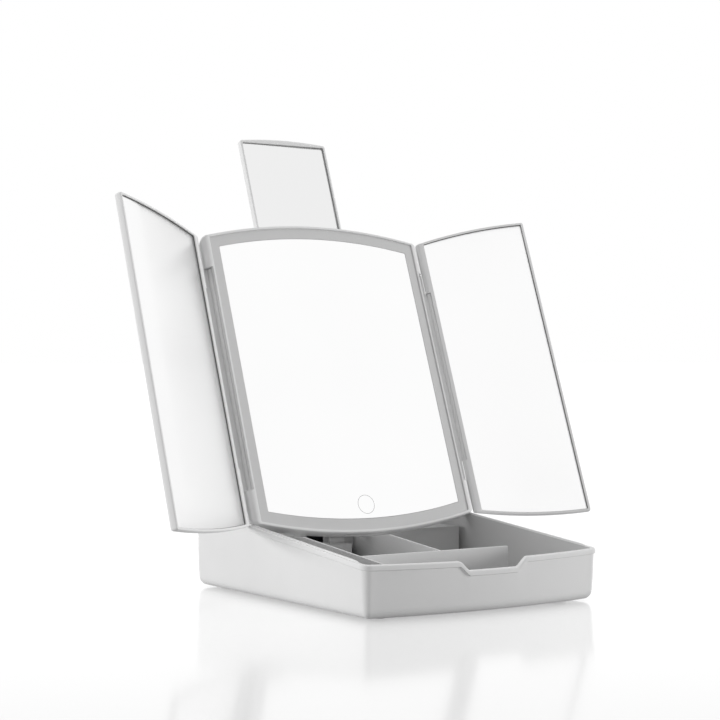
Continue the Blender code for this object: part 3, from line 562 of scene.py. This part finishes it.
# ---------------------------------------------------------------- base
def make_base():
    """The tray's shell from its bottom edge, over the lip and down to its floor."""
    def ring(inset, height):
        return [(x, y, height(x, y)) for x, y in base_outline(inset)]

    def level(z):
        return lambda x, y: z

    def under_rim(depth):
        return lambda x, y: rim_height(y) - notch_at(x, y) - depth

    rings = []
    for c, s in quarter(7):
        z = FOOT_H + BOTTOM_FILLET * (1.0 - c)
        rings.append(ring(DRAFT + BOTTOM_FILLET * (1.0 - s), level(z)))
    rings.append(ring(DRAFT * 0.55, level(OUTER_BEND_Z)))
    rings.append(ring(0.12, under_rim(LIP_H + 1.3)))
    lip_root = ((0.1, LIP_H + 0.5), (-0.15, LIP_H + 0.15), (-0.8, LIP_H), (-LIP_OUT, LIP_H - 0.35))
    for inset, depth in lip_root:
        rings.append(ring(inset, under_rim(depth)))
    for c, s in quarter(4):
        rings.append(ring(-LIP_OUT + LIP_ROUND * (1.0 - c), under_rim(LIP_ROUND - LIP_ROUND * s)))
    for c, s in quarter(3):
        rings.append(ring(WALL - INNER_ROUND + INNER_ROUND * s, under_rim(INNER_ROUND - INNER_ROUND * c)))
    rings.append(ring(WALL + DRAFT * 0.5, level(INNER_BEND_Z)))
    foot_of_wall = WALL + DRAFT
    for c, s in quarter(4):
        z = FLOOR_TOP + FLOOR_FILLET * (1.0 - s)
        rings.append(ring(foot_of_wall + FLOOR_FILLET * (1.0 - c), level(z)))
    shell = loft("base_shell_fine", rings, "white_plastic")
    ribs = [make_rib(sign) for sign in SIDES.values()]
    carve(shell, ribs, "UNION")
    carve(shell, make_base_cutters())
    paint_tray_shade(shell)
    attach(shell, "base")
    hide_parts("base_shell")


def make_base_cutters():
    """The plug's opening, the battery door's way and bay, and the flat for the label."""
    low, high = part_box("usb_inlet_socket")
    middle = (low + high) / 2 / MM
    half_w, half_h = INLET_HALF
    rear = BASE_D / 2
    inlet = box_piece("inlet_cut", (middle.x - half_w, rear - 15.0, middle.z - half_h),
                      (middle.x + half_w, rear + 5.0, middle.z + half_h), bevel=1.2)
    low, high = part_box("battery_door")
    way = box_piece("way_cut", (low.x / MM - DOOR_GAP, low.y / MM - DOOR_GAP, -1.0),
                    (high.x / MM + DOOR_GAP, high.y / MM + DOOR_WAY, DOOR_SEAT_Z))
    bay = box_piece("bay_cut", (-BAY_HALF_W, low.y / MM + BAY_END, 0.0),
                    (BAY_HALF_W, high.y / MM - BAY_END, BAY_TOP))
    half_w, half_d, depth = LABEL_RECESS
    label = box_piece("label_cut", (-half_w, -half_d, -1.6), (half_w, half_d, FOOT_H + depth), bevel=0.3)
    return [inlet, way, bay, label]


def paint_tray_shade(shell):
    """Gives the tray's inner walls and floor the darker grey of the housing, as painted shade for the dim inside
    of the white shell.
    """
    shell.data.materials.append(MATERIALS["tray_plastic"])
    for face in shell.data.polygons:
        x, y, z = face.center / MM
        rim = rim_height(y) - notch_at(x, y) - 0.8
        inside = max(abs(x) - BASE_W / 2, abs(y) - BASE_D / 2 + arc_drop(x, BOW_R)) < -WALL * 0.8
        if inside and face.normal.z > 0.0 and FLOOR_TOP - 0.5 < z < rim:
            # painted shade: inner walls and floor of the white shell take the darker grey
            face.material_index = 1


def make_rib(sign):
    """The thin rib on the inner edge of a side wall, with a rounded top and sloped ends."""
    inner = BASE_W / 2 - WALL
    profile = [(0.0, -3.0), (RIB_T, -3.0), (RIB_T, -0.45), (RIB_T - 0.18, -0.12), (RIB_T - 0.5, 0.0),
               (0.5, 0.0), (0.18, -0.12), (0.0, -0.45)]
    rings = []
    for y, rise in RIB_RISE:
        top = rim_height(y) + RIB_H * rise
        rings.append([(sign * (inner + x), y, top + z) for x, z in profile])
    return loft("rib", rings)


def make_tray_inside():
    """The insert, the rear housing, the panel's rest, the battery door and the feet."""
    rounded_copy("divider_insert", "divider_plastic", 0.45)
    rounded_copy("rear_housing", "tray_plastic", 0.6)
    rounded_copy("panel_rest", "tray_plastic", 0.5)
    rounded_copy("battery_door", "white_plastic", 0.25, segments=2)
    for corner in ("front_left", "front_right", "rear_left", "rear_right"):
        low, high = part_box(f"foot_{corner}")
        centre = (low + high) / 2 / MM
        size = (high - low) / MM
        round_bar(f"foot_{corner}_fine", centre, size.x / 2, size.z, "rubber", "base", f"foot_{corner}",
                  upright=True, sides=48, bevel=0.3)


# ---------------------------------------------------------------- panel
def make_panel_frame():
    """The frame round the light band, with a slot and a barrel pocket along each side."""
    def ring(side_inset, end_inset, n, corner):
        width = PANEL_HALF_W - side_inset
        return at_height(arc_outline(-width, width, PANEL_PEAK - end_inset, corner=corner), n)

    rings = [ring(1.3, 0.0, FRAME_BACK, 11.7), ring(0.55, 0.0, FRAME_BACK + 1.0, 10.4),
             ring(0.12, 0.0, FRAME_BACK + 2.4, 9.0)]
    for c, s in quarter(10):
        n = RIM_N - EDGE_R + EDGE_R * s
        rings.append(ring(EDGE_R * (1.0 - c), EDGE_END_R * (1.0 - c), n, 2.5 + RIM_N - n))
    opening_w = PANEL_HALF_W - BAND_HALF_W - 0.1
    opening_v = PANEL_PEAK - BAND_PEAK - 0.1
    for c, s in quarter(3):
        step = 0.3 * s - 0.3
        rings.append(ring(opening_w + step, opening_v + step, RIM_N - 0.3 + 0.3 * c, 1.2))
    rings.append(ring(opening_w, opening_v, LEDGE_N, 1.2))
    rings.append(ring(*LEDGE_INSET, LEDGE_N, 3.0))
    rings.append(ring(*LEDGE_INSET, FRAME_BACK, 3.0))
    frame_piece = loft("panel_frame_fine", rings, "white_plastic", place=PANEL, loop=True)
    cutters = []
    for sign in SIDES.values():
        hinge = (sign * PIVOT_U, 0.0, PIVOT_N)
        low_x, high_x = sorted((sign * (PIVOT_U - LINK_WEB[1] - HINGE_GAP), sign * (PANEL_HALF_W + 3.0)))
        cutters += [
            box_piece("slot_cut", (low_x, -PANEL_SLOT, -8.0), (high_x, PANEL_SLOT, 3.0), PANEL),
            round_bar("pocket_cut", hinge, LINK_R + HINGE_GAP, 2 * PANEL_SLOT, place=PANEL),
            round_bar("bore_cut", hinge, PIN_BORE_R, 190.0, place=PANEL, sides=24),
        ]
    cutters.append(box_piece("lip_cut", *PULL_LIP, PANEL, bevel=0.5))
    carve(frame_piece, cutters)
    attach(frame_piece, "panel")
    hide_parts("panel_frame")


def plate(name, outline, profile, material, body, node, place):
    """A flat plate whose edge follows a profile of (inset, height) steps."""
    rings = [at_height(outline(inset), n) for inset, n in profile]
    return loft(name, rings, material, body, node, place)


def glass_profile(back, front, edge=0.35):
    """Ground edge of a sheet of mirror glass."""
    return ((0.2, back), (0.0, back + 0.2), (0.0, front - edge),
            (edge * 0.35, front - edge * 0.3), (edge, front))


def make_panel_inside():
    """The centre mirror, the light band, the touch ring and the back cover."""
    def glass(inset):
        width = GLASS_HALF_W - inset
        return arc_outline(-width, width, GLASS_PEAK - inset, corner=1.0)

    plate("centre_mirror_glass_fine", glass, glass_profile(-2.0, 0.0), "mirror_glass", "panel",
          "centre_mirror_glass", PANEL)
    outer = arc_outline(-BAND_HALF_W, BAND_HALF_W, BAND_PEAK, corner=1.0)
    inner_w = GLASS_HALF_W + 0.12
    inner = arc_outline(-inner_w, inner_w, GLASS_PEAK + 0.12, corner=1.0)
    rings = [at_height(outer, -1.5), at_height(outer, 0.0), at_height(inner, 0.0), at_height(inner, -1.5)]
    loft("light_diffuser_fine", rings, "diffuser", "panel", "light_diffuser", PANEL, loop=True)
    make_touch_ring()

    def cover(inset):
        width = PANEL_HALF_W - COVER_INSET - inset
        return arc_outline(-width, width, PANEL_PEAK - 0.2 - inset, corner=8.5)

    front, start = COVER_N
    inward, backward = COVER_ROUND
    profile = [(0.0, front), (0.0, start)]
    profile += [(inward * (1.0 - c), start - backward * s) for c, s in quarter(6)]
    plate("panel_back_cover_fine", cover, profile, "white_plastic", "panel", "panel_back_cover", PANEL)


def make_touch_ring():
    """The thin printed circle over the touch pad."""
    sides = 96
    turns = [2 * math.pi * k / sides for k in range(sides)]
    inner, outer = TOUCH_R
    rings = []
    for r, n in ((inner, 0.0), (inner, TOUCH_H), (outer, TOUCH_H), (outer, 0.0)):
        rings.append([(r * math.cos(turn), TOUCH_V + r * math.sin(turn), n) for turn in turns])
    loft("touch_ring", rings, "ring_print", "panel", place=PANEL, loop=True)


def make_top_mirror():
    """The pull-up mirror: a frame, its glass and a dark line between them, painted shade of the gap under the
    frame's lip.
    """
    height = (TOP_PEAK - TOP_BOTTOM) / 2
    middle = (TOP_PEAK + TOP_BOTTOM) / 2
    place = PANEL @ Matrix.Translation((0.0, middle, 0.0))

    def outline(inset):
        """Straight below; the frame's top is bowed and the pocket's top is straight."""
        half = TOP_HALF_W - inset
        points = arc_outline(-half, half, height - inset, corner=1.6, steps=20)
        low = -height + inset + arc_drop(half, ARC_R)
        high = height - inset - (TOP_POCKET_DROP if inset >= TOP_LIP else 0.0)
        return [(x, min(max(y, low), high)) for x, y in points]

    profile = [(0.9, TOP_BACK_N), (0.25, TOP_BACK_N + 0.2), (0.0, TOP_BACK_N + 0.8),
               (0.0, TOP_FRONT_N - 0.7), (0.2, TOP_FRONT_N - 0.2), (0.7, TOP_FRONT_N),
               (1.5, TOP_FRONT_N), (TOP_LIP, TOP_FRONT_N - 0.2), (TOP_LIP, TOP_FRONT_N - 3.4)]
    plate("top_mirror_frame_fine", outline, profile, "white_plastic", "top_mirror", "top_mirror_frame",
          place)
    # painted shade: a dark strip in the gap between the frame's lip and the glass
    shade_line = [(TOP_LIP, TOP_FRONT_N - 3.2), (TOP_LIP, TOP_FRONT_N - 0.8),
            (TOP_LIP + SHADE_LINE_T, TOP_FRONT_N - 0.9), (TOP_LIP + SHADE_LINE_T, TOP_FRONT_N - 3.2)]
    loft("top_mirror_shade_line", [at_height(outline(inset), n) for inset, n in shade_line], "small_shade_line",
         "top_mirror", place=place, loop=True)
    glass = [(TOP_LIP + 0.3 + inset, n)
             for inset, n in glass_profile(TOP_FRONT_N - 3.1, TOP_FRONT_N - 1.3, 0.2)]
    plate("top_mirror_glass_fine", outline, glass, "small_mirror", "top_mirror", "top_mirror_glass", place)


# ---------------------------------------------------------------- wings and links
def make_link(side, sign):
    """A plate with a barrel on each hinge line; its apron fills the slot above and below the wing's."""
    place = hinge_place(side, False)
    near_half, far_half = PANEL_SLOT - HINGE_GAP, WING_SLOT - HINGE_GAP
    link = round_bar(f"{side}_link_fine", (0.0, 0.0, 0.0), LINK_R, 2 * near_half, "white_plastic",
                     place=place, bevel=0.3)
    pieces = [round_bar("far", (sign * LINK_LENGTH, 0.0, 0.0), LINK_FAR_R, 2 * far_half, place=place,
                        bevel=0.3)]
    for reach, half in ((LINK_LENGTH, far_half), (LINK_LENGTH - WING_R - HINGE_GAP, near_half)):
        low_x, high_x = sorted((0.0, sign * reach))
        pieces.append(box_piece("web", (low_x, -half, LINK_WEB[0]), (high_x, half, LINK_WEB[1]), place))
    carve(link, pieces, "UNION")
    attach(link, f"{side}_hinge")
    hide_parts(f"{side}_link")


def make_wing(side, sign):
    """A rounded frame with a pocket for its mirror; the hinge edge is slotted for the link."""
    place = hinge_place(side, True)
    lip_hinge, lip_free, lip_end = WING_LIP

    def mirrored(points):
        return [(sign * x, y) for x, y in points]

    def outline(hinge_inset, inset):
        start, end = -WING_R + hinge_inset, WING_END - inset
        return mirrored(arc_outline(start, end, PANEL_PEAK - inset, PIVOT_U, 1.5))

    def pocket(inset):
        start, end = lip_hinge + inset, WING_END - lip_free - inset
        return mirrored(arc_outline(start, end, PANEL_PEAK - lip_end - inset, PIVOT_U, 1.0))

    rings = []
    for c, s in reversed(quarter(7)):
        rings.append(at_height(outline(1.9 * (1.0 - c), 0.9 * (1.0 - c)), -WING_FRONT * s))
    for c, s in quarter(7)[1:]:
        rings.append(at_height(outline(2.4 * (1.0 - c), 0.5 * (1.0 - c)), WING_FRONT * s))
    for inset, n in ((-0.2, WING_FRONT), (0.0, WING_FRONT - 0.2), (0.0, 0.0)):
        rings.append(at_height(pocket(inset), n))
    wing = loft(f"{side}_wing_frame_fine", rings, "white_plastic", place=place)
    low_x, high_x = sorted((-sign * 4.0, sign * (LINK_WEB[1] + HINGE_GAP)))
    slot = box_piece("slot_cut", (low_x, -WING_SLOT, -4.0), (high_x, WING_SLOT, 4.0), place)
    well = round_bar("well_cut", (0.0, 0.0, 0.0), LINK_FAR_R + HINGE_GAP, 2 * WING_SLOT, place=place,
                     sides=32)
    bore = round_bar("bore_cut", (0.0, 0.0, 0.0), PIN_BORE_R, 160.0, place=place, sides=24)
    carve(wing, [slot, well, bore])
    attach(wing, f"{side}_wing")
    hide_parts(f"{side}_wing_frame")
    # painted shade: a dark strip in the gap between the frame's lip and the glass
    shade_line = [(0.0, 0.25), (0.0, WING_FRONT - 0.75), (SHADE_LINE_T, WING_FRONT - 0.85), (SHADE_LINE_T, 0.25)]
    loft(f"{side}_wing_shade_line", [at_height(pocket(inset), n) for inset, n in shade_line], "wing_shade_line",
         f"{side}_wing", place=place, loop=True)
    profile = [(inset + 0.3, n) for inset, n in glass_profile(0.3, WING_GLASS_N, 0.2)]
    plate(f"{side}_wing_glass_fine", pocket, profile, "wing_mirror", f"{side}_wing",
          f"{side}_wing_glass", place)


# ---------------------------------------------------------------- lead
def make_lead():
    """The lead from the small plug, seven turns in a two-layer coil, to the large plug."""
    route = [
        (-48.0, 142.3, 14.0), (-48.0, 150.0, 13.4), (-47.6, 158.0, 9.6), (-46.0, 167.0, 4.4),
        (-42.0, 177.0, 2.1), (-34.5, 185.5, 1.9), (-25.0, 190.2, 1.9), (-14.8, 191.4, 1.9)]
    lower = [(shift, CORD_REST_Z) for shift in (1.5, 0.5, -0.5, -1.5)]
    upper = [(shift, CORD_REST_Z + TURN_GAP * math.sqrt(0.75)) for shift in (-1.0, 0.0, 1.0)]
    places = [(COIL_R + shift * TURN_GAP, z) for shift, z in lower + upper]
    for k in range(TURN_STEPS * len(places) + 1):
        turn, share = divmod(k / TURN_STEPS, 1.0)
        index = min(int(turn), len(places) - 1)
        after = min(index + 1, len(places) - 1)
        move = max(0.0, (share - 0.7) / 0.3)
        move = move * move * (3.0 - 2.0 * move)
        r = places[index][0] + (places[after][0] - places[index][0]) * move
        z = places[index][1] + (places[after][1] - places[index][1]) * move
        spin = math.pi / 2 - 2 * math.pi * k / TURN_STEPS
        route.append((COIL_CENTRE[0] + r * math.cos(spin), COIL_CENTRE[1] + r * math.sin(spin), z))
    route += [
        (9.0, 189.5, 4.95), (16.2, 189.7, 4.8), (24.0, 189.9, 4.2), (33.0, 190.6, 3.9),
        (41.7, 191.0, 3.9)]
    curve = bpy.data.curves.new("usb_lead", "CURVE")
    curve.dimensions = "3D"
    curve.bevel_depth = CORD_R * MM
    curve.bevel_resolution = 4
    curve.resolution_u = 3
    curve.use_fill_caps = True
    spline = curve.splines.new("NURBS")
    spline.points.add(len(route) - 1)
    for knot, point in zip(spline.points, route):
        knot.co = (*(Vector(point) * MM), 1.0)
    spline.order_u = 4
    spline.use_endpoint_u = True
    lead = bpy.data.objects.new("usb_lead", curve)
    bpy.context.scene.collection.objects.link(lead)
    curve.materials.append(MATERIALS["cable_jacket"])
    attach(lead, "base")
    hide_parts("cable_lead", "cable_coil", "cable_tail")


# ---------------------------------------------------------------- CAD nodes
def dress_nodes():
    """Gives every CAD node the finish of its slot in the record."""
    slots = {entry["node"]: entry["material_slot"] for entry in frame["record"]["subparts"]}
    for name, node in NODES.items():
        node.data.materials.clear()
        node.data.materials.append(MATERIALS[slots[name]])


make_camera()
make_world()
make_stage()
make_area("left_softbox", (-3.5, 1.12, 0.5), (0.0, 0.0, 0.05), (2.7, 1.0), 84.0)
make_area("right_softbox", (3.2, -2.0, 0.35), (0.1, -0.1, 0.1), (1.5, 0.85), 90.0)
make_area("top_softbox", (0.0, 0.2, 1.5), (0.0, 0.0, 0.0), (1.0, 1.0), 7.0)
MATERIALS = make_materials()
PANEL = panel_place()
dress_nodes()
make_base()
make_tray_inside()
make_panel_frame()
make_panel_inside()
make_top_mirror()
for side_name, side_sign in SIDES.items():
    make_link(side_name, side_sign)
    make_wing(side_name, side_sign)
make_lead()
bpy.context.scene.view_settings.view_transform = "Standard"
